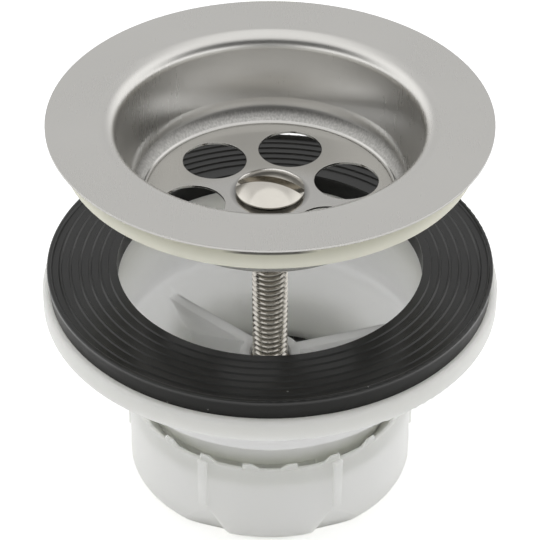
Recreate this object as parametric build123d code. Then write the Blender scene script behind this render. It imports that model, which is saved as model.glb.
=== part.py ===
from build123d import *

import math
import os

# Basin waste with a strainer cup that one central screw draws down on to a moulded body.
# Millimetres, +Z up, origin on the axis at the underside of the union nut.
# The cup stands clear of the body gasket, as it does before a basin is clamped between them.

# Levels above the underside of the nut
FLANGE_TOP = 67.9
RIM_TOP = 36.9
BOWL_CREASE = 22.5
HUB_TOP = 20.7
COLLAR_LOW = 14.35
NECK_END = 4.2

# Strainer cup, pressed from one stainless sheet
FLANGE_RADIUS = 35.0
SHEET = 0.4
CUP_DEPTH = 14.5
CUP_MOUTH_RADIUS = 24.4
CUP_SHOULDER_RADIUS = 22.3
CUP_SHOULDER_RISE = 1.7
CUP_FLOOR_RADIUS = 20.25
MOUTH_ROLL = 3.0
SHOULDER_ROLL = 5.0
FLOOR_ROLL = 0.3
PLATE_RADIUS = 20.0
PLATE_RISE = 0.15
PLATE_EDGE_ROLL = 0.45
DRAIN_HOLE_COUNT = 6
DRAIN_HOLE_RADIUS = 5.2
DRAIN_CIRCLE_RADIUS = 12.7
DRAIN_START_ANGLE = 15.0

# Clamp screw, M6 raised countersunk head with a slot
SCREW_RADIUS = 2.95
SCREW_LENGTH = 40.0
SCREW_TIP_CHAMFER = 0.8
HEAD_RADIUS = 5.5
HEAD_RIM = 0.25
HEAD_DOME = 1.7
HEAD_STAND = 0.6
COUNTERSINK_ANGLE = 45.0
SLOT_WIDTH = 1.6
SLOT_DEPTH = 1.9
SLOT_ANGLE = -13.0
SCREW_HOLE_RADIUS = 3.2
SEAT_CLEARANCE = 0.05

# Nylon ring that keeps the cup at the screw's head
RETAINER_RADIUS = 5.4
RETAINER_THICKNESS = 1.6

# Seal under the flange
SEAL_THICKNESS = 4.9
SEAL_INNER_RADIUS = 27.0
SEAL_TOP_RADIUS = 32.2
SEAL_LOW_RADIUS = 32.7
SEAL_BULGE = 0.15
SEAL_LOW_ROUND = 0.5

# Ribbed gasket on the body's rim
GASKET_THICKNESS = 3.0
GASKET_INNER_RADIUS = 24.9
GASKET_FOOT_RADIUS = 36.0
GASKET_LIP_OVERHANG = 0.3
GASKET_LIP_RISE = 0.5
GASKET_LIP_WIDTH = 0.7
GASKET_LIP_SLOPE = 0.3
GASKET_LIP_ROUND = 0.3
GASKET_BAND_RADIUS = 26.2
GASKET_BAND_SLOPE = 0.2
RIB_COUNT = 5
RIB_MARGIN = 1.5
RIB_WIDTH = 0.6
RIB_CREST = 0.2
RIB_HEIGHT = 0.22

# Moulded body
RIM_RADIUS = 37.15
RIM_DEPTH = 3.7
RIM_ROUND = 0.8
BOWL_MOUTH_RADIUS = 25.0
BOWL_CREASE_RADIUS = 24.6
BOWL_OUTER_RADIUS = 26.8
BOWL_ROOT_ROUND = 1.5
COLLAR_RADIUS = 21.24
COLLAR_TOP = 17.3
NECK_RADIUS = 20.2
NECK_BORE_RADIUS = 17.5
FUNNEL_LOW = 15.9
MOUTH_RADIUS = 18.9
MOUTH_TOP = 10.4
NECK_END_CHAMFER = 0.5

# Hub, spokes and the brass insert in the hub
HUB_RADIUS = 5.05
HUB_DEPTH = 10.0
HUB_MOUTH_RADIUS = 3.43
HUB_MOUTH_DEPTH = 2.0
SPOKE_COUNT = 3
SPOKE_WIDTH = 2.0
SPOKE_DEPTH = 8.8
SPOKE_START_ANGLE = 18.0
INSERT_RADIUS = 4.1
INSERT_LENGTH = 7.0
INSERT_GROOVE_DEPTH = 0.4
INSERT_GROOVE_LENGTH = 1.4
THREAD_CLEARANCE = 0.05

# Union nut
NUT_LOW_RADIUS = 24.0
NUT_TOP_RADIUS = 23.6
NUT_HEIGHT = 15.0
NUT_TOP_ROUND = 0.3
NUT_LOW_ROUND = 1.2
NUT_CLEARANCE = 0.08
NUT_LIP = 2.0
NUT_MOUTH_RADIUS = 22.9
NUT_MOUTH_DEPTH = 3.4
TAB_HEIGHT = 0.9
TAB_WALL = 0.45
TAB_INSET = 0.1
TAB_COUNT_PER_SIDE = 10
TAB_STEP_ANGLE = 10.9
TAB_PITCH_ANGLE = 18.0
TAB_CREST_ANGLE = 3.6
TAB_RAMP_ANGLE = 4.4
GRIP_ANGLES = (27.5, 90.0, 152.5)
GRIP_WIDTH = 1.7
GRIP_RADIUS = 24.2
GRIP_ROUND = 0.4
GRIP_LOW = 5.5
GRIP_TOP_DROP = 0.15
FACET_DEPTH = 1.5
FACET_TURN = 9.0
FACET_FLANK_LOW = 1.2
FACET_FLANK_HIGH = 3.1

# Tapered outlet seal for a 32 mm pipe
PIPE_BORE_RADIUS = 16.2
OUTLET_FLANGE_RADIUS = 19.9
OUTLET_SEAL_TOP = 10.6
OUTLET_TOP_RADIUS = 17.1
OUTLET_GAP = 0.25

# Levels and radii that follow from the sizes above
FLANGE_UNDERSIDE = FLANGE_TOP - SHEET
PLATE_TOP = FLANGE_TOP - CUP_DEPTH
SEAT_RADIUS = HEAD_RADIUS - HEAD_STAND
HEAD_RIM_LOW = PLATE_TOP + HEAD_STAND
SEAT_DEPTH = SEAT_RADIUS - SCREW_HOLE_RADIUS
RETAINER_TOP = PLATE_TOP - SEAT_DEPTH - SHEET * math.sin(math.radians(COUNTERSINK_ANGLE))
SCREW_TIP = HEAD_RIM_LOW + HEAD_RIM - SCREW_LENGTH
GASKET_LIP_RADIUS = GASKET_FOOT_RADIUS + GASKET_LIP_OVERHANG
INSERT_TOP = HUB_TOP - HUB_MOUTH_DEPTH
NUT_BORE_RADIUS = NECK_RADIUS + NUT_CLEARANCE
FULL_TURN = 360


def face_of(*edges):
    """A section in the XZ plane from joined lines and arcs."""
    return Plane.XZ * make_face(Curve() + list(edges))


def turned(*points):
    """A solid of revolution about Z from a straight-sided (radius, level) outline."""
    return revolve(face_of(Polyline(*points, close=True)), Axis.Z)


def tube(outer, inner, low, high):
    """A plain round tube between two levels."""
    return turned((inner, low), (outer, low), (outer, high), (inner, high))


def edges_at(solid, radius, level):
    """The round edges of a turned solid at one radius and level."""
    near = 1e-3

    def is_there(edge):
        same_level = abs(edge.center(CenterOf.BOUNDING_BOX).Z - level) < near
        return same_level and abs(edge.radius - radius) < near

    return [edge for edge in solid.edges().filter_by(GeomType.CIRCLE) if is_there(edge)]


def strainer_cup():
    """Flange, rolled mouth, drawn cup with a sloping foot, and perforated plate with a screw seat."""
    floor_level = PLATE_TOP - PLATE_RISE
    top_line = FilletPolyline(
        (FLANGE_RADIUS, FLANGE_TOP),
        (CUP_MOUTH_RADIUS, FLANGE_TOP),
        (CUP_SHOULDER_RADIUS, PLATE_TOP + CUP_SHOULDER_RISE),
        (CUP_FLOOR_RADIUS, floor_level),
        (PLATE_RADIUS, floor_level),
        (PLATE_RADIUS - PLATE_RISE, PLATE_TOP),
        (SEAT_RADIUS + SEAT_CLEARANCE, PLATE_TOP),
        (SCREW_HOLE_RADIUS + SEAT_CLEARANCE, PLATE_TOP - SEAT_DEPTH),
        radius=[MOUTH_ROLL, SHOULDER_ROLL, FLOOR_ROLL, 0, PLATE_EDGE_ROLL, 0],
    )
    sheet = make_face(offset(top_line, SHEET, side=Side.LEFT).edges())
    cup = revolve(Plane.XZ * sheet, Axis.Z)
    holes = PolarLocations(DRAIN_CIRCLE_RADIUS, DRAIN_HOLE_COUNT, start_angle=DRAIN_START_ANGLE)
    drill = Pos(Z=PLATE_TOP) * Cylinder(DRAIN_HOLE_RADIUS, CUP_DEPTH)
    return cup - [Pos(place.position) * drill for place in holes]


def clamp_screw():
    """Raised countersunk head, slot and plain shank."""
    rim_top = HEAD_RIM_LOW + HEAD_RIM
    crown = rim_top + HEAD_DOME
    dome_radius = (HEAD_RADIUS ** 2 + HEAD_DOME ** 2) / (2 * HEAD_DOME)
    dome = RadiusArc((HEAD_RADIUS, rim_top), (0, crown), -dome_radius)
    sides = Polyline(
        (0, crown),
        (0, SCREW_TIP),
        (SCREW_RADIUS - SCREW_TIP_CHAMFER, SCREW_TIP),
        (SCREW_RADIUS, SCREW_TIP + SCREW_TIP_CHAMFER),
        (SCREW_RADIUS, HEAD_RIM_LOW - (HEAD_RADIUS - SCREW_RADIUS)),
        (HEAD_RADIUS, HEAD_RIM_LOW),
        (HEAD_RADIUS, rim_top),
    )
    screw = revolve(face_of(dome, *sides.edges()), Axis.Z)
    slot = Box(2 * FLANGE_RADIUS, SLOT_WIDTH, 2 * SLOT_DEPTH)
    return screw - Pos(Z=crown) * Rot(Z=SLOT_ANGLE) * slot


def retaining_ring():
    """Plain ring, a push fit on the screw's thread."""
    return tube(RETAINER_RADIUS, SCREW_RADIUS, RETAINER_TOP - RETAINER_THICKNESS, RETAINER_TOP)


def flange_seal():
    """Soft ring with a slightly bulging outer face that widens downwards."""
    low = FLANGE_UNDERSIDE - SEAL_THICKNESS
    bulge = SagittaArc((SEAL_TOP_RADIUS, FLANGE_UNDERSIDE), (SEAL_LOW_RADIUS, low), SEAL_BULGE)
    sides = Polyline(
        (SEAL_LOW_RADIUS, low),
        (SEAL_INNER_RADIUS, low),
        (SEAL_INNER_RADIUS, FLANGE_UNDERSIDE),
        (SEAL_TOP_RADIUS, FLANGE_UNDERSIDE),
    )
    seal = revolve(face_of(bulge, *sides.edges()), Axis.Z)
    return fillet(edges_at(seal, SEAL_LOW_RADIUS, low), SEAL_LOW_ROUND)


def rib_points(radius, level):
    """Outline of one gasket rib, from its inner foot to its outer foot."""
    return [
        (radius - RIB_WIDTH / 2, level),
        (radius - RIB_CREST / 2, level + RIB_HEIGHT),
        (radius + RIB_CREST / 2, level + RIB_HEIGHT),
        (radius + RIB_WIDTH / 2, level),
    ]


def body_gasket():
    """Flat rubber ring with a raised inner band, concentric ribs and a rounded outer lip."""
    land = RIM_TOP + GASKET_THICKNESS
    band = land + RIB_HEIGHT
    lip = land + GASKET_LIP_RISE
    lip_inner = GASKET_LIP_RADIUS - GASKET_LIP_WIDTH
    points = [
        (GASKET_INNER_RADIUS, RIM_TOP),
        (GASKET_INNER_RADIUS, band),
        (GASKET_BAND_RADIUS, band),
        (GASKET_BAND_RADIUS + GASKET_BAND_SLOPE, land),
    ]
    first_rib = GASKET_BAND_RADIUS + RIB_MARGIN
    rib_pitch = (lip_inner - RIB_MARGIN - first_rib) / (RIB_COUNT - 1)
    for index in range(RIB_COUNT):
        points += rib_points(first_rib + index * rib_pitch, land)
    points += [
        (lip_inner - GASKET_LIP_SLOPE, land),
        (lip_inner, lip),
        (GASKET_LIP_RADIUS, lip),
        (GASKET_FOOT_RADIUS, RIM_TOP),
    ]
    gasket = turned(*points)
    lip_edges = edges_at(gasket, lip_inner, lip) + edges_at(gasket, GASKET_LIP_RADIUS, lip)
    return fillet(lip_edges, GASKET_LIP_ROUND)


def body_shell():
    """Rim, bowl, funnel, collar and neck as one turned wall."""
    rim_low = RIM_TOP - RIM_DEPTH
    shell = turned(
        (BOWL_MOUTH_RADIUS, RIM_TOP),
        (BOWL_CREASE_RADIUS, BOWL_CREASE),
        (NECK_BORE_RADIUS, FUNNEL_LOW),
        (NECK_BORE_RADIUS, MOUTH_TOP),
        (MOUTH_RADIUS, NECK_END),
        (NECK_RADIUS - NECK_END_CHAMFER, NECK_END),
        (NECK_RADIUS, NECK_END + NECK_END_CHAMFER),
        (NECK_RADIUS, COLLAR_LOW),
        (COLLAR_RADIUS, COLLAR_LOW),
        (COLLAR_RADIUS, COLLAR_TOP),
        (BOWL_OUTER_RADIUS, BOWL_CREASE),
        (BOWL_OUTER_RADIUS, rim_low),
        (RIM_RADIUS, rim_low),
        (RIM_RADIUS, RIM_TOP),
    )
    shell = fillet(edges_at(shell, RIM_RADIUS, RIM_TOP), RIM_ROUND)
    shell = fillet(edges_at(shell, RIM_RADIUS, rim_low), RIM_ROUND / 2)
    return fillet(edges_at(shell, BOWL_OUTER_RADIUS, rim_low), BOWL_ROOT_ROUND)


def insert_outline():
    """Brass insert as a solid plug, with a groove that the plastic grips."""
    low = INSERT_TOP - INSERT_LENGTH
    groove_low = INSERT_TOP - (INSERT_LENGTH + INSERT_GROOVE_LENGTH) / 2
    groove_high = groove_low + INSERT_GROOVE_LENGTH
    waist = INSERT_RADIUS - INSERT_GROOVE_DEPTH
    return turned(
        (0, low),
        (INSERT_RADIUS, low),
        (INSERT_RADIUS, groove_low),
        (waist, groove_low),
        (waist, groove_high),
        (INSERT_RADIUS, groove_high),
        (INSERT_RADIUS, INSERT_TOP),
        (0, INSERT_TOP),
    )


def waste_body():
    """Body shell with three spokes that carry the hub."""
    hub_low = HUB_TOP - HUB_DEPTH
    hub = turned((0, hub_low), (HUB_RADIUS, hub_low), (HUB_RADIUS, HUB_TOP), (0, HUB_TOP))
    spoke = Box(BOWL_OUTER_RADIUS, SPOKE_WIDTH, SPOKE_DEPTH, align=(Align.MIN, Align.CENTER, Align.MAX))
    spokes = [
        Rot(Z=SPOKE_START_ANGLE + index * FULL_TURN / SPOKE_COUNT) * Pos(Z=HUB_TOP) * spoke
        for index in range(SPOKE_COUNT)
    ]
    inside = turned(
        (0, NECK_END),
        (COLLAR_RADIUS - SPOKE_WIDTH, NECK_END),
        (COLLAR_RADIUS - SPOKE_WIDTH, COLLAR_TOP),
        (BOWL_CREASE_RADIUS, BOWL_CREASE),
        (0, BOWL_CREASE),
    )
    body = body_shell() + [spoke & inside for spoke in spokes] + hub
    through = Cylinder(SCREW_RADIUS + THREAD_CLEARANCE, 2 * FLANGE_TOP)
    mouth = Pos(Z=HUB_TOP) * Cylinder(HUB_MOUTH_RADIUS, 2 * HUB_MOUTH_DEPTH)
    return body - insert_outline() - through - mouth


def screw_insert():
    """Brass insert with the hole for the screw's thread."""
    return insert_outline() - Cylinder(SCREW_RADIUS + THREAD_CLEARANCE, 2 * FLANGE_TOP)


def nut_tab():
    """One tab of the nut's top edge, ending in a step at the front, with a ramp on its other side."""
    inner = NUT_MOUTH_RADIUS + TAB_INSET
    outer = inner + TAB_WALL
    low = NUT_HEIGHT - NUT_TOP_ROUND
    high = NUT_HEIGHT + TAB_HEIGHT
    crest = math.radians(TAB_CREST_ANGLE) * outer
    foot = math.radians(TAB_CREST_ANGLE + TAB_RAMP_ANGLE) * outer
    side = Polyline((-foot, low), (0, low), (0, high), (-crest, high), close=True)
    block = Pos(Y=-outer) * extrude(Plane.XZ * make_face(side), 2 * TAB_WALL, both=True)
    return block & tube(outer, inner, low, high)


def on_both_sides(front_shape, angles):
    """Copies of a shape that faces the front, turned by each angle to the right and mirrored to the left."""
    right = [Rot(Z=angle) * front_shape for angle in angles]
    return right + [mirror(shape, about=Plane.YZ) for shape in right]


def nut_facets():
    """Cutters for a leaning flat with a slanted flank below each grip rib, in the nut's lower edge."""
    tilt = math.degrees(math.atan2(FACET_DEPTH, GRIP_LOW))
    block = Box(2 * NUT_LOW_RADIUS, NUT_LOW_RADIUS, 2 * GRIP_LOW, align=(Align.CENTER, Align.MAX, Align.MAX))
    leaning = Pos(Y=-NUT_LOW_RADIUS, Z=GRIP_LOW) * Rot(X=tilt) * block
    side = Polyline(
        (-2 * FACET_FLANK_LOW - FACET_FLANK_HIGH, -GRIP_LOW),
        (FACET_FLANK_HIGH, GRIP_LOW),
        (NUT_LOW_RADIUS, GRIP_LOW),
        (NUT_LOW_RADIUS, -GRIP_LOW),
        close=True,
    )
    beside_flank = extrude(Plane.XZ * make_face(side), 2 * NUT_LOW_RADIUS)
    return on_both_sides(leaning & beside_flank, [angle - FACET_TURN for angle in GRIP_ANGLES])


def nut_grips():
    """Low vertical ribs for the fingers."""
    height = NUT_HEIGHT - GRIP_TOP_DROP - GRIP_LOW
    depth = GRIP_RADIUS - NUT_MOUTH_RADIUS - TAB_INSET
    grip = Box(GRIP_WIDTH, depth, height, align=(Align.CENTER, Align.MIN, Align.MIN))
    grip = fillet(grip.edges().filter_by(Axis.Z).sort_by(Axis.Y)[:2], GRIP_ROUND)
    return on_both_sides(Pos(Y=-GRIP_RADIUS, Z=GRIP_LOW) * grip, GRIP_ANGLES)


def union_nut():
    """Nut with a lip for the outlet seal, grip ribs, flats in its lower edge and a notched top edge."""
    nut = turned(
        (PIPE_BORE_RADIUS, 0),
        (NUT_LOW_RADIUS, 0),
        (NUT_TOP_RADIUS, NUT_HEIGHT),
        (NUT_MOUTH_RADIUS, NUT_HEIGHT),
        (NUT_MOUTH_RADIUS, NUT_HEIGHT - NUT_MOUTH_DEPTH),
        (NUT_BORE_RADIUS, NUT_HEIGHT - NUT_MOUTH_DEPTH),
        (NUT_BORE_RADIUS, NUT_LIP),
        (PIPE_BORE_RADIUS, NUT_LIP),
    )
    nut = fillet(edges_at(nut, NUT_TOP_RADIUS, NUT_HEIGHT), NUT_TOP_ROUND)
    nut = fillet(edges_at(nut, NUT_LOW_RADIUS, 0), NUT_LOW_ROUND)
    steps = [TAB_STEP_ANGLE + index * TAB_PITCH_ANGLE for index in range(TAB_COUNT_PER_SIDE)]
    return nut - nut_facets() + nut_grips() + on_both_sides(nut_tab(), steps)


def outlet_seal():
    """Tapered rubber ring: its flange lies on the nut's lip, its thin end points up the neck."""
    taper_foot = MOUTH_RADIUS - OUTLET_GAP
    return turned(
        (PIPE_BORE_RADIUS, NUT_LIP),
        (OUTLET_FLANGE_RADIUS, NUT_LIP),
        (OUTLET_FLANGE_RADIUS, NECK_END),
        (taper_foot, NECK_END),
        (OUTLET_TOP_RADIUS, OUTLET_SEAL_TOP),
        (PIPE_BORE_RADIUS, OUTLET_SEAL_TOP),
    )


PIECES = (
    strainer_cup,
    flange_seal,
    clamp_screw,
    retaining_ring,
    body_gasket,
    waste_body,
    screw_insert,
    union_nut,
    outlet_seal,
)

os.makedirs("parts", exist_ok=True)
for piece in PIECES:
    export_step(piece(), f"parts/{piece.__name__}.step")
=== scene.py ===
from math import asin, ceil, cos, pi, radians, sin, tau

import bmesh
import bpy
from bpy.props import FloatProperty, FloatVectorProperty, IntProperty, PointerProperty
from mathutils import Matrix, Vector


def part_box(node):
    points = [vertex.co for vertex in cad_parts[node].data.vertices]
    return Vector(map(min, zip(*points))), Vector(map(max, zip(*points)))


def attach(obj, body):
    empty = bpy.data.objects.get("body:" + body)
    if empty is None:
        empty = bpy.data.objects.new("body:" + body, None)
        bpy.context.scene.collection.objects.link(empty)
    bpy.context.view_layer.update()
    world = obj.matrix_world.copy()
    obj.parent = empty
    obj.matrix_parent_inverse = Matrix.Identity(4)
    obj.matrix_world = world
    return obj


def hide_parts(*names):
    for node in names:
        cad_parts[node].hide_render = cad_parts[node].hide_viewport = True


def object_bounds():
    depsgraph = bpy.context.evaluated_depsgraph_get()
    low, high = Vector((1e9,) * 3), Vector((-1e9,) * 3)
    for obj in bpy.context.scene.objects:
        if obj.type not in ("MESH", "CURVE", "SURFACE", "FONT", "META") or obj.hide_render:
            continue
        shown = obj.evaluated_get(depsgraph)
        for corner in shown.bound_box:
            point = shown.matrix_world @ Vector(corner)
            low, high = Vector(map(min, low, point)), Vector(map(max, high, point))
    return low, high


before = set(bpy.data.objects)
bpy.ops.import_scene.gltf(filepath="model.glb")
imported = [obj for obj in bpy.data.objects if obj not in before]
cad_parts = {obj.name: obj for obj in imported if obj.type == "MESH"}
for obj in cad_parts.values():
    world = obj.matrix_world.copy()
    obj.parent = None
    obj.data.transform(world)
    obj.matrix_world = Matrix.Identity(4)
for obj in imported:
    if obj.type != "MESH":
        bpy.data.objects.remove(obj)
CAD_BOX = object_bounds()

bl_info = {
    "name": "Basin waste",
    "version": (1, 0, 0),
    "blender": (4, 5, 0),
    "location": "3D View > Sidebar > Basin waste",
    "description": "Threads, finishes and a studio stage for the packed basin waste",
    "category": "Object",
}

MM = 0.001
MERGE = 0.001 * MM
FLOOR_GAP = 0.02 * MM
SENSOR = 36
SCREW_LOW, SCREW_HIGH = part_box("clamp_screw")
CUP_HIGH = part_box("strainer_cup")[1]

# Shares of the pitch: a 60 degree thread's depth, flank and crest, and half a groove's mouth and floor.
THREAD_DEPTH = 0.5413
THREAD_FLANK = 0.3125
THREAD_CREST = 0.125
GROOVE_MOUTH = 0.42
GROOVE_FLOOR = 0.1


class WasteScrewSizes(bpy.types.PropertyGroup):
    """Sizes of the threaded clamp screw that the solids leave out or that its box doesn't give."""

    pitch: FloatProperty(name="Thread pitch", description="Rise of the screw's thread in one turn",
                         default=1.0 * MM, unit="LENGTH", precision=5)
    shank: FloatProperty(name="Shank radius", description="Radius over the crests of the thread",
                         default=2.95 * MM, unit="LENGTH", precision=5)
    rim: FloatProperty(name="Rim height", description="Height of the head's straight rim",
                       default=0.25 * MM, unit="LENGTH", precision=5)
    dome: FloatProperty(name="Dome height", description="Height of the raised crown above the rim",
                        default=1.7 * MM, unit="LENGTH", precision=5)
    slot_width: FloatProperty(name="Slot width", description="Width of the driver slot",
                              default=1.6 * MM, unit="LENGTH", precision=5)
    slot_depth: FloatProperty(name="Slot depth", description="Depth of the driver slot below the crown",
                              default=1.9 * MM, unit="LENGTH", precision=5)
    slot_turn: FloatProperty(name="Slot turn", description="Angle of the slot from the X axis",
                             default=radians(-13), subtype="ANGLE")
    facets: IntProperty(name="Facets", description="Facets in one turn of the thread",
                        default=64, min=16)
    dome_steps: IntProperty(name="Dome steps", description="Steps from the crown to the rim",
                            default=14, min=4)


class WasteNeckSizes(bpy.types.PropertyGroup):
    """Sizes of the thread that is cut into the body's neck."""

    pitch: FloatProperty(name="Neck pitch", description="Rise of the neck's thread in one turn",
                         default=2.309 * MM, unit="LENGTH", precision=5)
    crest: FloatProperty(name="Neck radius", description="Radius over the crests of the neck's thread",
                         default=20.2 * MM, unit="LENGTH", precision=5)
    depth: FloatProperty(name="Groove depth", description="Depth of the moulded groove",
                         default=0.9 * MM, unit="LENGTH", precision=5)
    top: FloatProperty(name="Thread top", description="Level at which the groove ends, below the collar",
                       default=13.0 * MM, unit="LENGTH", precision=5)
    facets: IntProperty(name="Neck facets", description="Facets in one turn of the groove",
                        default=96, min=24)


class WasteMarks(bpy.types.PropertyGroup):
    """Where forming marks, painted shade, painted shadows and shine lie on the pieces, and how dark they
    are.
    """

    plate: FloatProperty(name="Plate depth", description="From the flange's top down to the strainer plate",
                         default=14.5 * MM, unit="LENGTH", precision=5)
    # Painted shade: the polished plate's colour is darkened for the dim reflections it gets at the bottom
    # of the cup.
    plate_painted_shade: FloatProperty(name="Plate shade", description="Shade of the polished plate",
                               default=0.84, min=0, subtype="FACTOR")
    # The forming marks are real drawn streaks, but the foot band is also darkened overall as painted shade,
    # to dim the lamp's reflection there.
    foot_low: FloatProperty(name="Foot marks low",
                            description="Lower end of the forming marks above the plate",
                            default=0.2 * MM, unit="LENGTH", precision=5)
    foot_high: FloatProperty(name="Foot marks high",
                             description="Upper end of the forming marks above the plate",
                             default=1.6 * MM, unit="LENGTH", precision=5)
    foot_fade: FloatProperty(name="Foot fade", description="Height over which the forming marks fade",
                             default=0.15 * MM, unit="LENGTH", precision=5)
    edge: FloatProperty(name="Edge round", description="Radius to which punched edges look rounded",
                        default=0.12 * MM, unit="LENGTH", precision=5)
    edge_shade: FloatProperty(name="Edge shade", description="Shade of the flange's sheared edge",
                              default=0.8, min=0, subtype="FACTOR")
    # Painted shadow: a dark ring on the plate round the screw's head, standing for the head's contact
    # shadow and its dark reflection.
    seat_shadow: FloatProperty(name="Seat shadow", description="Radius of the painted shadow round the screw's head",
                        default=5.6 * MM, unit="LENGTH", precision=5)
    seat_shadow_fade: FloatProperty(name="Seat fade", description="Width over which that shadow fades",
                             default=0.9 * MM, unit="LENGTH", precision=5)
    seat_shadow_shade: FloatProperty(name="Seat shade", description="Shade of the steel under that shadow",
                              default=0.4, min=0, subtype="FACTOR")
    oil_shade: FloatProperty(name="Oil shade", description="Shade of the oiled grooves of the thread",
                             default=0.52, min=0, subtype="FACTOR")
    # Painted shadow: a dark line on the seal's front, standing for the shadow in the gap under the flange.
    gap_line: FloatProperty(name="Gap line", description="Lower end of the seal's dark line, below its top",
                            default=2.35 * MM, unit="LENGTH", precision=5)
    gap_soft: FloatProperty(name="Gap softness", description="Height over which that line fades",
                            default=0.188 * MM, unit="LENGTH", precision=5)
    gap_front: FloatProperty(name="Gap front", description="How far to the front that dark line begins",
                             default=31.8 * MM, unit="LENGTH", precision=5)
    gap_fade: FloatProperty(name="Gap fade", description="Distance to the front over which it deepens",
                            default=0.5 * MM, unit="LENGTH", precision=5)
    gap_shade: FloatProperty(name="Gap shade", description="Shade of the seal in that line",
                             default=0.12, min=0, subtype="FACTOR")
    # Painted shade on the seal, standing for the shade under the flange's overhang.
    seal_shade: FloatProperty(name="Seal shade", description="Height of the grimy band below the flange",
                              default=4.0 * MM, unit="LENGTH", precision=5)
    shine_low: FloatProperty(name="Shine low", description="Where the rubber's shine begins, below its top",
                             default=0.9 * MM, unit="LENGTH", precision=5)
    shine_high: FloatProperty(name="Shine high", description="Where that shine is full, below the top",
                              default=0.5 * MM, unit="LENGTH", precision=5)
    # Painted shade: the body greys from this level up, standing for the dimmer light on its rim.
    clean: FloatProperty(name="Unshaded height", description="Level up to which the body is clean",
                         default=24 * MM, unit="LENGTH", precision=5)
    shade_fade: FloatProperty(name="Shade fade", description="Height above that over which the body greys",
                              default=10 * MM, unit="LENGTH", precision=5)


class WasteColours(bpy.types.PropertyGroup):
    """Base colours of the finishes, in linear light, and how far light passes into them."""

    steel: FloatVectorProperty(name="Steel sheet", description="Satin stainless sheet of the strainer cup",
                               default=(0.62, 0.61, 0.585), subtype="COLOR", min=0, max=1)
    screw: FloatVectorProperty(name="Screw", description="Bright steel of the clamp screw",
                               default=(0.66, 0.63, 0.575), subtype="COLOR", min=0, max=1)
    cream: FloatVectorProperty(name="Flange seal", description="Soft cream ring under the flange",
                               default=(0.78, 0.77, 0.66), subtype="COLOR", min=0, max=1)
    # Painted shade: the seal's colour just under the flange, where the overhang shades it.
    seal_shadow_colour: FloatVectorProperty(name="Seal shadow", description="Painted shade on the seal, below the flange",
                               default=(0.3432, 0.3388, 0.2376), subtype="COLOR", min=0, max=1)
    rubber: FloatVectorProperty(name="Black rubber", description="Ribbed gasket and outlet seal",
                                default=(0.010, 0.010, 0.009), subtype="COLOR", min=0, max=1)
    dust: FloatVectorProperty(name="Dust", description="Specks of dust on the black rubber",
                              default=(0.16, 0.16, 0.15), subtype="COLOR", min=0, max=1)
    body: FloatVectorProperty(name="Body", description="White moulding of the waste's body",
                              default=(0.965, 0.97, 0.955), subtype="COLOR", min=0, max=1)
    # Painted shade: the greyer colour of the body's top, standing for the dimmer light on its rim.
    handled: FloatVectorProperty(name="Shaded rim", description="Greyer top of the body, as handled",
                                 default=(0.75, 0.75, 0.715), subtype="COLOR", min=0, max=1)
    nut: FloatVectorProperty(name="Nut", description="White moulding of the union nut",
                             default=(0.94, 0.945, 0.885), subtype="COLOR", min=0, max=1)
    nylon: FloatVectorProperty(name="Nylon", description="Retaining ring on the screw",
                               default=(0.7, 0.69, 0.64), subtype="COLOR", min=0, max=1)
    brass: FloatVectorProperty(name="Brass", description="Threaded insert in the hub",
                               default=(0.6, 0.45, 0.2), subtype="COLOR", min=0, max=1)
    white_depth: FloatProperty(name="Moulding depth", description="How far light passes into body and nut",
                               default=6 * MM, unit="LENGTH", precision=5)
    nylon_depth: FloatProperty(name="Nylon depth", description="How far light passes into the nylon ring",
                               default=0.5 * MM, unit="LENGTH", precision=5)
    cream_depth: FloatProperty(name="Seal depth", description="How far light passes into the flange seal",
                               default=0.6 * MM, unit="LENGTH", precision=5)


class WasteTent(bpy.types.PropertyGroup):
    """Brightness of the white tent, and its parts as ranges of a unit direction's X, Y and Z."""

    room: FloatProperty(name="Room light", description="Brightness of the white tent above the waste",
                        default=0.75, min=0)
    horizon: FloatProperty(name="Horizon light", description="Brightness of the tent's low walls",
                           default=1.55, min=0)
    sides: FloatProperty(name="Side light", description="Brightness of the tent's left and right walls",
                         default=1.4, min=0)
    strip: FloatProperty(name="Dark strip", description="Share of light lost in the strip above the camera",
                         default=0.85, min=0, max=1)
    gap: FloatProperty(name="Camera gap", description="Share of light lost in the gap below the camera",
                       default=0.8, min=0, max=1)
    front_range: FloatVectorProperty(name="Front", description="Y where the front is full and ends",
                                     default=(-0.35, -0.1), size=2)
    strip_range: FloatVectorProperty(name="Strip range", description="Z at the dark strip's two edges",
                                     default=(0.32, 0.64), size=2)
    gap_range: FloatVectorProperty(name="Gap range", description="Z at the camera gap's two edges",
                                   default=(-0.5, 0.26), size=2)
    gap_width: FloatProperty(name="Gap half width", description="X at the camera gap's side edges",
                             default=0.25, min=0)
    gap_soft: FloatProperty(name="Gap side softness", description="Width of the gap's soft side edges",
                            default=0.15, min=0)
    soft: FloatProperty(name="Edge softness", description="Width of the other soft edges",
                        default=0.06, min=0)
    side_range: FloatVectorProperty(name="Side range", description="X where a side wall begins and is full",
                                    default=(0.45, 0.75), size=2)
    low_range: FloatVectorProperty(name="Low range", description="Z where a low wall is full and ends",
                                   default=(0.2, 0.36), size=2)
    back_range: FloatVectorProperty(name="Back range", description="Y over which a low wall fades out",
                                    default=(0.1, 0.6), size=2)


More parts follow.
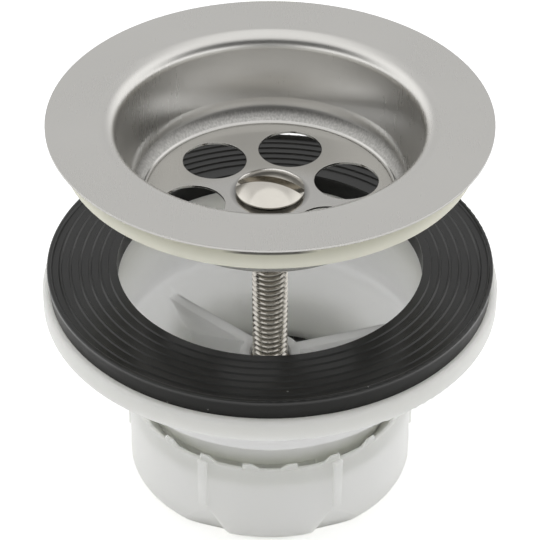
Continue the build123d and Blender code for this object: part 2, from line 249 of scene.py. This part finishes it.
class WasteStage(bpy.types.PropertyGroup):
    """The studio: camera, floor and lamp."""

    distance: FloatProperty(name="Camera distance", description="From the camera to the flange's middle",
                            default=0.36, unit="LENGTH")
    elevation: FloatProperty(name="Camera elevation", description="Angle of the camera above the flange",
                             default=radians(33.357), subtype="ANGLE")
    pitch: FloatProperty(name="Camera pitch", description="How far the camera looks down from level",
                         default=radians(37.173), subtype="ANGLE")
    lens: FloatProperty(name="Lens", description="Focal length on a 36 mm sensor, in millimetres",
                        default=153.9)
    floor_radius: FloatProperty(name="Floor radius", description="Radius of the round floor",
                                default=2.0, unit="LENGTH")
    floor_colour: FloatVectorProperty(name="Floor colour", description="Pale floor under the waste",
                                      default=(0.88, 0.88, 0.88), subtype="COLOR", min=0, max=1)
    floor_lift: FloatProperty(name="Floor lift", description="Light added so that the floor reads white",
                              default=0.4, min=0)
    overhead: FloatProperty(name="Overhead lamp", description="Power of the soft lamp overhead, in watts",
                            default=0.9, min=0, subtype="POWER")
    lamp_place: FloatVectorProperty(name="Lamp place", description="Middle of the soft lamp overhead",
                                    default=(0, -0.05, 0.8), subtype="TRANSLATION")
    lamp_size: FloatProperty(name="Lamp size", description="Diameter of the soft lamp overhead",
                             default=1.0, unit="LENGTH")
    bounces: IntProperty(name="Diffuse bounces", description="Bounces of light between the white mouldings",
                         default=12, min=4)


def add_node(tree, kind, values=None, **settings):
    """A node with its settings, and its sockets' values or the sockets that feed them."""
    made = tree.nodes.new(kind)
    for name, value in settings.items():
        setattr(made, name, value)
    for socket, value in (values or {}).items():
        if isinstance(value, bpy.types.NodeSocket):
            tree.links.new(value, made.inputs[socket])
        else:
            made.inputs[socket].default_value = value
    return made


def object_coordinates(tree, scale=(1, 1, 1)):
    """Object coordinates, stretched by a scale on each axis."""
    place = add_node(tree, "ShaderNodeTexCoord").outputs["Object"]
    return add_node(tree, "ShaderNodeMapping", {"Vector": place, "Scale": scale}).outputs["Vector"]


def coordinate(tree, axis):
    """One coordinate of a point in the shared frame."""
    place = add_node(tree, "ShaderNodeTexCoord").outputs["Object"]
    return add_node(tree, "ShaderNodeSeparateXYZ", {0: place}).outputs[axis]


def distance_from_axis(tree):
    """The distance of a point from the waste's axis."""
    flat = object_coordinates(tree, (1, 1, 0))
    return add_node(tree, "ShaderNodeVectorMath", {0: flat}, operation="LENGTH").outputs["Value"]


def mapped(tree, value, low, high, start=0.0, end=1.0):
    """A value brought from the range start to end into the range low to high, and held at its ends."""
    ranges = {"Value": value, "From Min": start, "From Max": end, "To Min": low, "To Max": high}
    return add_node(tree, "ShaderNodeMapRange", ranges).outputs["Result"]


def rising(tree, value, start, end):
    """Nought up to the start of a range of values and one from its end."""
    return mapped(tree, value, 0.0, 1.0, start, end)


def falling(tree, value, start, end):
    """One up to the start of a range of values and nought from its end."""
    return mapped(tree, value, 1.0, 0.0, start, end)


def math_node(tree, operation, first, second=0.0):
    """One step of arithmetic."""
    return add_node(tree, "ShaderNodeMath", {0: first, 1: second}, operation=operation).outputs[0]


def product(tree, first, second):
    """Two values multiplied."""
    return math_node(tree, "MULTIPLY", first, second)


def between(tree, value, low, high, soft):
    """One inside a range of values and nought outside it, with soft ends."""
    return product(tree, rising(tree, value, low - soft, low), falling(tree, value, high, high + soft))


def noise(tree, place, scale, detail):
    """Soft noise between nought and one."""
    values = {"Vector": place, "Scale": scale, "Detail": detail}
    return add_node(tree, "ShaderNodeTexNoise", values).outputs[0]


def shade(colour, factor):
    """A colour made lighter or darker."""
    return tuple(min(1, channel * factor) for channel in colour)


def mixed_colour(tree, factor, first, second):
    """A colour between two colours."""
    made = add_node(tree, "ShaderNodeMix", {"Factor": factor}, data_type="RGBA")
    for socket, value in ((6, first), (7, second)):
        if isinstance(value, bpy.types.NodeSocket):
            tree.links.new(value, made.inputs[socket])
        else:
            made.inputs[socket].default_value = (*value, 1)
    return made.outputs[2]


def varied(tree, factor, colour, dark, light):
    """A colour that goes from a darker to a lighter shade of itself."""
    return mixed_colour(tree, factor, shade(colour, dark), shade(colour, light))


def new_group(name, inputs, outputs):
    """An empty shader node group with float sockets, its input node and its output node."""
    tree = bpy.data.node_groups.new(name, "ShaderNodeTree")
    for socket, default in inputs.items():
        made = tree.interface.new_socket(socket, in_out="INPUT", socket_type="NodeSocketFloat")
        made.default_value = default
    for socket in outputs:
        tree.interface.new_socket(socket, in_out="OUTPUT", socket_type="NodeSocketFloat")
    return tree, tree.nodes.new("NodeGroupInput").outputs, tree.nodes.new("NodeGroupOutput").inputs


def grain_group():
    """Fine moulded grain and broad cloudiness, the same on every soft or moulded piece."""
    sockets = {"Grain": 2500.0, "Cloud": 60.0}
    tree, given, put = new_group("moulded_grain", sockets, ("Height", "Cloudiness"))
    place = object_coordinates(tree)
    tree.links.new(noise(tree, place, given["Grain"], detail=3.0), put["Height"])
    tree.links.new(noise(tree, place, given["Cloud"], detail=4.0), put["Cloudiness"])
    return tree


def dust_group():
    """Small pale specks of dust, thinly spread."""
    sockets = {"Spread": 260.0, "Size": 0.06, "Bare": 0.82}
    tree, given, put = new_group("dust_specks", sockets, ("Mask",))
    place = object_coordinates(tree)
    cells = add_node(tree, "ShaderNodeTexVoronoi", {"Vector": place, "Scale": given["Spread"]})
    speck = math_node(tree, "LESS_THAN", cells.outputs["Distance"], given["Size"])
    chosen = add_node(tree, "ShaderNodeSeparateColor", {"Color": cells.outputs["Color"]})
    few = math_node(tree, "GREATER_THAN", chosen.outputs[0], given["Bare"])
    tree.links.new(product(tree, speck, few), put["Mask"])
    return tree


def rubbing_group():
    """Broad smears and fine scratches that change how a metal shines."""
    sockets = {"Smear": 90.0, "Scratch": 3500.0}
    tree, given, put = new_group("rubbing", sockets, ("Smears", "Scratches"))
    across = object_coordinates(tree, (1, 0.04, 0.04))
    tree.links.new(noise(tree, object_coordinates(tree), given["Smear"], detail=5.0), put["Smears"])
    tree.links.new(noise(tree, across, given["Scratch"], detail=2.0), put["Scratches"])
    return tree


def placed_group(tree, name, **values):
    """A shared group, made on first use and placed in a material with its own values."""
    makers = {"moulded_grain": grain_group, "dust_specks": dust_group, "rubbing": rubbing_group}
    group = bpy.data.node_groups.get(name) or makers[name]()
    return add_node(tree, "ShaderNodeGroup", values, node_tree=group).outputs


def new_finish(name, **constants):
    """A material with a Principled shader whose plain values are set on its own sockets."""
    material = bpy.data.materials.new(name)
    material.use_nodes = True
    shader = material.node_tree.nodes["Principled BSDF"]
    for socket, value in constants.items():
        shader.inputs[socket.replace("_", " ").title().replace("Ior", "IOR")].default_value = value
    return material, material.node_tree, shader


def feed(tree, shader, **sockets):
    """Links values that change over the surface into the shader."""
    for socket, value in sockets.items():
        tree.links.new(value, shader.inputs[socket.replace("_", " ").title()])


def rounded(tree, radius):
    """A normal that turns over sharp edges as if they were rounded."""
    return add_node(tree, "ShaderNodeBevel", {"Radius": radius}, samples=6).outputs["Normal"]


def bumped(tree, height, depth, normal=None):
    """A normal roughened by a height of that many metres."""
    values = {"Height": height, "Distance": depth, "Strength": 1.0}
    if normal:
        values["Normal"] = normal
    return add_node(tree, "ShaderNodeBump", values).outputs["Normal"]


def satin_steel(colour, marks):
    """Satin sheet: fine brushing, drawn streaks on a rough foot that is darkened as painted shade, a
    polished plate darkened as painted shade, and a painted shadow round the screw's head.
    """
    material, tree, shader = new_finish("satin_steel", metallic=1.0, anisotropic=0.8)
    round_axis = add_node(tree, "ShaderNodeTangent", direction_type="RADIAL", axis="Z").outputs["Tangent"]
    rub = placed_group(tree, "rubbing", Smear=70.0, Scratch=5200.0)
    drawn = noise(tree, object_coordinates(tree, (1, 1, 0.02)), scale=3400.0, detail=2.0)
    plate = CUP_HIGH.z - marks.plate
    level = coordinate(tree, "Z")
    radius = distance_from_axis(tree)
    formed = between(tree, level, plate + marks.foot_low, plate + marks.foot_high, marks.foot_fade)
    polished = falling(tree, level, plate, plate + marks.foot_low)
    # Painted shadow: the plate is darkened round the screw's head for its contact shadow and its dark
    # reflection.
    seat_shadow = product(tree, polished, falling(tree, radius, marks.seat_shadow, marks.seat_shadow + marks.seat_shadow_fade))
    sheared = rising(tree, radius, CUP_HIGH.x - marks.edge, CUP_HIGH.x)
    sheet = varied(tree, rub["Smears"], colour, dark=0.97, light=1.03)
    # Painted shade: the polished plate is darkened for the dim reflections at the bottom of the cup.
    sheet = mixed_colour(tree, polished, sheet, shade(colour, marks.plate_painted_shade))
    sheet = mixed_colour(tree, seat_shadow, sheet, shade(colour, marks.seat_shadow_shade))
    sheet = mixed_colour(tree, sheared, sheet, shade(colour, marks.edge_shade))
    # Drawn streaks, which are real, darkened overall as painted shade to dim the lamp's reflection on the
    # foot.
    drawn_and_shaded = varied(tree, drawn, colour, dark=0.45, light=1.15)
    rubbed = math_node(tree, "ADD", rub["Smears"], rub["Scratches"])
    rough = mapped(tree, rubbed, low=0.25, high=0.33, start=0.5, end=1.5)
    rough = math_node(tree, "ADD", rough, mapped(tree, formed, low=0.0, high=0.15))
    rough = math_node(tree, "SUBTRACT", rough, mapped(tree, polished, low=0.0, high=0.16))
    height = math_node(tree, "ADD", rub["Scratches"], drawn)
    feed(tree, shader,
         base_color=mixed_colour(tree, formed, sheet, drawn_and_shaded),
         roughness=rough,
         normal=bumped(tree, height, depth=0.001 * MM, normal=rounded(tree, marks.edge)),
         tangent=round_axis)
    return material


def bright_steel(colour, sizes, marks):
    """Bright turned steel with rubbed patches and dark oil in the thread's grooves, for the screw."""
    material, tree, shader = new_finish("bright_steel", metallic=1.0)
    rub = placed_group(tree, "rubbing", Smear=380.0, Scratch=4200.0)
    groove = falling(tree, distance_from_axis(tree), sizes.shank - 0.5 * sizes.pitch, sizes.shank)
    on_shank = falling(tree, coordinate(tree, "Z"), shank_top(sizes) - sizes.pitch, shank_top(sizes))
    metal = varied(tree, rub["Smears"], colour, dark=0.9, light=1.06)
    oiled = shade(colour, marks.oil_shade)
    feed(tree, shader,
         base_color=mixed_colour(tree, product(tree, groove, on_shank), metal, oiled),
         roughness=mapped(tree, rub["Smears"], low=0.12, high=0.24, start=0.3, end=0.7),
         normal=bumped(tree, rub["Scratches"], depth=0.003 * MM))
    return material


def turned_brass(colour):
    """Turned brass of the insert."""
    material, tree, shader = new_finish("turned_brass", metallic=1.0)
    rub = placed_group(tree, "rubbing", Smear=300.0, Scratch=3000.0)
    feed(tree, shader,
         base_color=varied(tree, rub["Smears"], colour, dark=0.8, light=1.1),
         roughness=mapped(tree, rub["Scratches"], low=0.25, high=0.4),
         normal=bumped(tree, rub["Scratches"], depth=0.004 * MM))
    return material


def moulded_plastic(name, colour, depth):
    """Pale moulding with eggshell grain and faint clouds, into which light passes to a depth."""
    material, tree, shader = new_finish(name, ior=1.49, subsurface_weight=1.0, subsurface_scale=depth,
                                        subsurface_radius=(1.0, 1.0, 1.0))
    grain = placed_group(tree, "moulded_grain", Grain=1900.0, Cloud=55.0)
    feed(tree, shader,
         base_color=varied(tree, grain["Cloudiness"], colour, dark=0.97, light=1.03),
         roughness=mapped(tree, grain["Height"], low=0.36, high=0.46),
         normal=bumped(tree, grain["Height"], depth=0.006 * MM))
    return material


def shaded_above(material, colour, low, high):
    """The moulding, whose colour changes to a painted shade from a low level up to a high one."""
    tree = material.node_tree
    base = tree.nodes["Principled BSDF"].inputs["Base Color"]
    clean = base.links[0].from_socket
    # Painted shade: the colour greys from the low level up, for the dimmer light on the body's rim.
    handled = rising(tree, coordinate(tree, "Z"), low, high)
    tree.links.new(mixed_colour(tree, handled, clean, colour), base)
    return material


def black_rubber(name, colours, marks, top):
    """Moulded black rubber with a dull bloom, fine grain, specks of dust and a shine near its top level."""
    material, tree, shader = new_finish(name, ior=1.52, specular_ior_level=0.16, coat_roughness=0.2)
    grain = placed_group(tree, "moulded_grain", Grain=3200.0, Cloud=130.0)
    dust = placed_group(tree, "dust_specks", Spread=330.0, Size=0.05)
    bloom = varied(tree, grain["Cloudiness"], colours.rubber, dark=0.7, light=1.5)
    near_top = rising(tree, coordinate(tree, "Z"), top - marks.shine_low, top - marks.shine_high)
    feed(tree, shader,
         base_color=mixed_colour(tree, dust["Mask"], bloom, colours.dust),
         roughness=mapped(tree, grain["Cloudiness"], low=0.32, high=0.44, start=0.3, end=0.7),
         coat_weight=mapped(tree, near_top, low=0.0, high=0.55),
         normal=bumped(tree, grain["Height"], depth=0.01 * MM))
    return material


def cream_rubber(colours, marks):
    """Soft mottled cream rubber, with painted shade below the flange, darkest at its top, and a painted
    shadow line at the front.
    """
    material, tree, shader = new_finish("cream_rubber", ior=1.5, subsurface_weight=0.1,
                                        subsurface_scale=colours.cream_depth,
                                        subsurface_radius=(1.0, 0.9, 0.7))
    grain = placed_group(tree, "moulded_grain", Grain=2600.0, Cloud=170.0)
    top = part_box("flange_seal")[1].z
    level = coordinate(tree, "Z")
    # Painted shade: the seal darkens towards the flange above it, for the shade under the flange's
    # overhang.
    shadowed = rising(tree, level, top - marks.seal_shade, top)
    # Painted shadow: a dark line across the seal's front, just below where the flange hides it, stands for
    # the shadow in the gap under the flange.
    front = falling(tree, coordinate(tree, "Y"), -marks.gap_front - marks.gap_fade, -marks.gap_front)
    line = rising(tree, level, top - marks.gap_line, top - marks.gap_line + marks.gap_soft)
    mottled = varied(tree, grain["Cloudiness"], colours.cream, dark=0.94, light=1.05)
    shaded_seal = mixed_colour(tree, shadowed, mottled, colours.seal_shadow_colour)
    dark = shade(colours.cream, marks.gap_shade)
    feed(tree, shader,
         base_color=mixed_colour(tree, product(tree, front, line), shaded_seal, dark),
         roughness=mapped(tree, grain["Height"], low=0.55, high=0.7),
         normal=bumped(tree, grain["Height"], depth=0.014 * MM))
    return material


def dress(node, material):
    """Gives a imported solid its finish."""
    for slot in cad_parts[node].material_slots:
        slot.material = material


def object_from(bm, name):
    """A linked object from a bmesh, with doubles merged and outward normals."""
    bmesh.ops.remove_doubles(bm, verts=bm.verts, dist=MERGE)
    bmesh.ops.recalc_face_normals(bm, faces=bm.faces)
    mesh = bpy.data.meshes.new(name)
    bm.to_mesh(mesh)
    bm.free()
    made = bpy.data.objects.new(name, mesh)
    bpy.context.scene.collection.objects.link(made)
    return made


def smooth_below(made, angle):
    """Smooth shading, with edges sharper than the angle kept crisp."""
    made.data.shade_smooth()
    made.data.set_sharp_from_angle(angle=angle)


def finish_with(made, material):
    """Gives a built piece its one material."""
    made.data.materials.clear()
    made.data.materials.append(material)


def combined(base, tool, operation):
    """The base joined with or cut by a tool, which is then removed."""
    step = base.modifiers.new(operation.title(), "BOOLEAN")
    step.operation = operation
    step.solver = "EXACT"
    step.object = tool
    solid = base.evaluated_get(bpy.context.evaluated_depsgraph_get())
    mesh = bpy.data.meshes.new_from_object(solid)
    base.modifiers.clear()
    base.data = mesh
    bpy.data.objects.remove(tool)
    return base


def spin_outline(bm, geometry, turns, steps, rise=0.0, closed=False):
    """Turns an outline about the waste's axis, with a rise at each step."""
    bmesh.ops.spin(bm, geom=geometry, cent=(0, 0, 0), axis=(0, 0, 1), dvec=(0, 0, rise),
                   angle=turns * tau, steps=steps, use_merge=closed)


def open_outline(bm, outline):
    """The points of a (radius, level) outline and the edges that join them."""
    points = [bm.verts.new((radius, 0, level)) for radius, level in outline]
    return points + [bm.edges.new(pair) for pair in zip(points, points[1:])]


def spun(outline, name, facets):
    """A turned solid from a (radius, level) outline that starts and ends on the axis."""
    bm = bmesh.new()
    spin_outline(bm, open_outline(bm, outline), turns=1, steps=facets, closed=True)
    return object_from(bm, name)


def threaded_rod(name, crest, pitch, low, high, facets):
    """A rod with a right-hand thread: one pitch of its outline, spun up a helix and cut to length."""
    root = crest - THREAD_DEPTH * pitch
    crest_end = THREAD_FLANK + THREAD_CREST
    shares = ((root, 0.0), (crest, THREAD_FLANK), (crest, crest_end),
              (root, crest_end + THREAD_FLANK), (root, 1.0))
    turns = ceil((high - low) / pitch) + 2
    bm = bmesh.new()
    outline = open_outline(bm, [(radius, low + (share - 1.5) * pitch) for radius, share in shares])
    spin_outline(bm, outline, turns, steps=turns * facets, rise=pitch / facets)
    bmesh.ops.remove_doubles(bm, verts=bm.verts, dist=MERGE)
    for level, side in ((low, -1), (high, 1)):
        everything = bm.verts[:] + bm.edges[:] + bm.faces[:]
        cut = bmesh.ops.bisect_plane(bm, geom=everything, plane_co=(0, 0, level), plane_no=(0, 0, side),
                                     clear_outer=True)
        rim = [item for item in cut["geom_cut"] if isinstance(item, bmesh.types.BMEdge)]
        bmesh.ops.edgeloop_fill(bm, edges=rim)
    return object_from(bm, name)


def thread_groove(sizes, low):
    """Cutter for a right-hand groove: its outline, which reaches outside the neck, spun up a helix."""
    outside = sizes.crest + sizes.depth / 2
    root = sizes.crest - sizes.depth
    shares = ((outside, -GROOVE_MOUTH), (root, -GROOVE_FLOOR),
              (root, GROOVE_FLOOR), (outside, GROOVE_MOUTH))
    turns = (sizes.top - low) / sizes.pitch
    bm = bmesh.new()
    points = [bm.verts.new((radius, 0, low + share * sizes.pitch)) for radius, share in shares]
    start = bm.faces.new(points)
    spin_outline(bm, [start, *start.edges, *points], turns, steps=round(turns * sizes.facets),
                 rise=sizes.pitch / sizes.facets)
    return object_from(bm, "thread_groove")


def merged_copy(node, name):
    """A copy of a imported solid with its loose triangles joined."""
    bm = bmesh.new()
    bm.from_mesh(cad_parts[node].data)
    return object_from(bm, name)


def shank_top(sizes):
    """Level at which the cone of the screw's head runs into its shank."""
    return SCREW_HIGH.z - sizes.dome - sizes.rim - (SCREW_HIGH.x - sizes.shank)


def screw_head(sizes):
    """Raised countersunk head: dome, rim and a cone that runs into the shank."""
    head = SCREW_HIGH.x
    crown = SCREW_HIGH.z
    sphere = (head ** 2 + sizes.dome ** 2) / (2 * sizes.dome)
    slopes = [asin(head / sphere) * step / sizes.dome_steps for step in range(sizes.dome_steps + 1)]
    outline = [(sphere * sin(slope), crown - sphere * (1 - cos(slope))) for slope in slopes]
    outline += [(head, crown - sizes.dome - sizes.rim), (sizes.shank, shank_top(sizes))]
    outline += [(0, shank_top(sizes) - sizes.pitch)]
    return spun(outline, "clamp_screw_threaded", sizes.facets)


def slot_cutter(sizes):
    """Block that cuts the driver slot."""
    bm = bmesh.new()
    bmesh.ops.create_cube(bm, size=2)
    bmesh.ops.scale(bm, vec=(2 * SCREW_HIGH.x, sizes.slot_width / 2, sizes.slot_depth), verts=bm.verts)
    bmesh.ops.rotate(bm, cent=(0, 0, 0), matrix=Matrix.Rotation(sizes.slot_turn, 3, "Z"), verts=bm.verts)
    bmesh.ops.translate(bm, vec=(0, 0, SCREW_HIGH.z), verts=bm.verts)
    return object_from(bm, "slot_cutter")


class WASTE_OT_strainer(bpy.types.Operator):
    """Give the strainer cup its satin steel"""

    bl_idname = "waste.strainer"
    bl_label = "Strainer cup"

    def execute(self, context):
        scene = context.scene
        dress("strainer_cup", satin_steel(scene.waste_colours.steel, scene.waste_marks))
        return {"FINISHED"}


class WASTE_OT_screw(bpy.types.Operator):
    """Build the threaded clamp screw and finish its retaining ring"""

    bl_idname = "waste.screw"
    bl_label = "Clamp screw"

    def execute(self, context):
        sizes = context.scene.waste_screw
        colours = context.scene.waste_colours
        screw = combined(screw_head(sizes), slot_cutter(sizes), "DIFFERENCE")
        rod = threaded_rod("thread", sizes.shank, sizes.pitch, SCREW_LOW.z, shank_top(sizes), sizes.facets)
        screw = combined(screw, rod, "UNION")
        smooth_below(screw, angle=radians(32))
        finish_with(screw, bright_steel(colours.screw, sizes, context.scene.waste_marks))
        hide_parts("clamp_screw")
        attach(screw, "screw")
        dress("retaining_ring", moulded_plastic("natural_nylon", colours.nylon, colours.nylon_depth))
        return {"FINISHED"}


class WASTE_OT_seals(bpy.types.Operator):
    """Finish the cream seal, the ribbed gasket and the outlet seal"""

    bl_idname = "waste.seals"
    bl_label = "Seals"

    def execute(self, context):
        colours = context.scene.waste_colours
        marks = context.scene.waste_marks
        dress("flange_seal", cream_rubber(colours, marks))
        dress("body_gasket", black_rubber("gasket_rubber", colours, marks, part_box("body_gasket")[1].z))
        dress("outlet_seal", black_rubber("outlet_rubber", colours, marks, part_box("outlet_seal")[1].z))
        return {"FINISHED"}


class WASTE_OT_mouldings(bpy.types.Operator):
    """Cut the thread of the white body's neck and finish the body, its brass insert and the union nut"""

    bl_idname = "waste.mouldings"
    bl_label = "Body and nut"

    def execute(self, context):
        colours = context.scene.waste_colours
        marks = context.scene.waste_marks
        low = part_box("waste_body")[0].z
        body = combined(merged_copy("waste_body", "waste_body_threaded"),
                        thread_groove(context.scene.waste_neck, low), "DIFFERENCE")
        smooth_below(body, angle=radians(30))
        white = moulded_plastic("body_moulding", colours.body, colours.white_depth)
        # The body's top is greyed as painted shade.
        grey_level = marks.clean + marks.shade_fade
        finish_with(body, shaded_above(white, colours.handled, marks.clean, grey_level))
        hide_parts("waste_body")
        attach(body, "body")
        dress("union_nut", moulded_plastic("nut_moulding", colours.nut, colours.white_depth))
        dress("screw_insert", turned_brass(colours.brass))
        return {"FINISHED"}


def white_floor(stage):
    """Pale floor that reads white and keeps the shadow."""
    bm = bmesh.new()
    bmesh.ops.create_circle(bm, cap_ends=True, radius=stage.floor_radius, segments=96)
    bmesh.ops.translate(bm, vec=(0, 0, CAD_BOX[0].z - FLOOR_GAP), verts=bm.verts)
    floor = object_from(bm, "floor")
    material = bpy.data.materials.new("pale_floor")
    material.use_nodes = True
    tree = material.node_tree
    tree.nodes.clear()
    paths = add_node(tree, "ShaderNodeLightPath").outputs
    seen = math_node(tree, "MAXIMUM", paths["Is Camera Ray"], paths["Is Glossy Ray"])
    seen = math_node(tree, "MAXIMUM", seen, paths["Is Transmission Ray"])
    matt = add_node(tree, "ShaderNodeBsdfDiffuse", {"Color": (*stage.floor_colour, 1)})
    lift = add_node(tree, "ShaderNodeEmission", {"Strength": product(tree, seen, stage.floor_lift)})
    both = add_node(tree, "ShaderNodeAddShader", {0: matt.outputs[0], 1: lift.outputs[0]})
    add_node(tree, "ShaderNodeOutputMaterial", {"Surface": both.outputs[0]})
    floor.data.materials.append(material)


def light_tent(tent):
    """White tent round the waste, with a dark strip and a dark gap where the camera looks in."""
    world = bpy.data.worlds.new("light_tent")
    world.use_nodes = True
    tree = world.node_tree
    direction = add_node(tree, "ShaderNodeTexCoord").outputs["Generated"]
    across, along, up = add_node(tree, "ShaderNodeSeparateXYZ", {0: direction}).outputs
    front = falling(tree, along, *tent.front_range)
    strip = product(tree, front, between(tree, up, *tent.strip_range, tent.soft))
    opening = product(tree, between(tree, up, *tent.gap_range, tent.soft),
                      between(tree, across, -tent.gap_width, tent.gap_width, tent.gap_soft))
    gap = product(tree, front, opening)
    lost = math_node(tree, "MAXIMUM", product(tree, strip, tent.strip), product(tree, gap, tent.gap))
    sideways = math_node(tree, "ABSOLUTE", across)
    wall = mapped(tree, sideways, tent.room, tent.sides, *tent.side_range)
    low_wall = mapped(tree, up, tent.horizon, 0.0, *tent.low_range)
    low_wall = product(tree, low_wall, falling(tree, along, *tent.back_range))
    level = math_node(tree, "MAXIMUM", wall, low_wall)
    light = product(tree, level, falling(tree, lost, 0.0, 1.0))
    tree.links.new(light, tree.nodes["Background"].inputs["Strength"])
    tree.nodes["Background"].inputs["Color"].default_value = (1, 1, 1, 1)
    bpy.context.scene.world = world


def soft_lamp(name, place, size, power):
    """A round soft lamp that faces the middle of the waste."""
    lamp = bpy.data.lights.new(name, "AREA")
    lamp.shape = "DISK"
    lamp.size = size
    lamp.energy = power
    made = bpy.data.objects.new(name, lamp)
    middle = (CAD_BOX[0] + CAD_BOX[1]) / 2
    made.location = place
    made.rotation_euler = (Vector(place) - middle).to_track_quat("Z", "Y").to_euler()
    bpy.context.scene.collection.objects.link(made)


def photo_camera(stage):
    """Camera at the photograph's angle, aimed below the flange."""
    lens = bpy.data.cameras.new("camera")
    lens.lens = stage.lens
    lens.sensor_width = SENSOR
    made = bpy.data.objects.new("camera", lens)
    back = stage.distance * cos(stage.elevation)
    above = stage.distance * sin(stage.elevation)
    made.location = (0, -back, CUP_HIGH.z + above)
    made.rotation_euler = (pi / 2 - stage.pitch, 0, 0)
    bpy.context.scene.collection.objects.link(made)
    bpy.context.scene.camera = made


class WASTE_OT_stage(bpy.types.Operator):
    """Set up the floor, the light and the camera"""

    bl_idname = "waste.stage"
    bl_label = "Studio stage"

    def execute(self, context):
        stage = context.scene.waste_stage
        white_floor(stage)
        light_tent(context.scene.waste_tent)
        soft_lamp("overhead", stage.lamp_place, stage.lamp_size, stage.overhead)
        photo_camera(stage)
        context.scene.view_settings.view_transform = "Standard"
        context.scene.cycles.diffuse_bounces = stage.bounces
        return {"FINISHED"}


class WASTE_PT_panel(bpy.types.Panel):
    """Lists the steps and the sizes that they use"""

    bl_label = "Basin waste"
    bl_idname = "WASTE_PT_panel"
    bl_space_type = "VIEW_3D"
    bl_region_type = "UI"
    bl_category = "Basin waste"

    def draw(self, context):
        for step in OPERATORS:
            self.layout.operator(step.bl_idname)
        for name, group in GROUPS.items():
            for value in group.__annotations__:
                self.layout.prop(getattr(context.scene, name), value)


GROUPS = {"waste_screw": WasteScrewSizes, "waste_neck": WasteNeckSizes, "waste_marks": WasteMarks,
          "waste_colours": WasteColours, "waste_tent": WasteTent, "waste_stage": WasteStage}
OPERATORS = (WASTE_OT_strainer, WASTE_OT_screw, WASTE_OT_seals, WASTE_OT_mouldings, WASTE_OT_stage)


def register():
    """Adds the property groups, the operators and the panel."""
    for made in (*GROUPS.values(), *OPERATORS, WASTE_PT_panel):
        bpy.utils.register_class(made)
    for name, group in GROUPS.items():
        setattr(bpy.types.Scene, name, PointerProperty(type=group))


def unregister():
    """Takes away what register added."""
    for name in GROUPS:
        delattr(bpy.types.Scene, name)
    for made in reversed((*GROUPS.values(), *OPERATORS, WASTE_PT_panel)):
        bpy.utils.unregister_class(made)


def main():
    """Registers the add-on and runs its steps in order."""
    register()
    bpy.ops.waste.strainer()
    bpy.ops.waste.screw()
    bpy.ops.waste.seals()
    bpy.ops.waste.mouldings()
    bpy.ops.waste.stage()


if __name__ == "__main__":
    main()
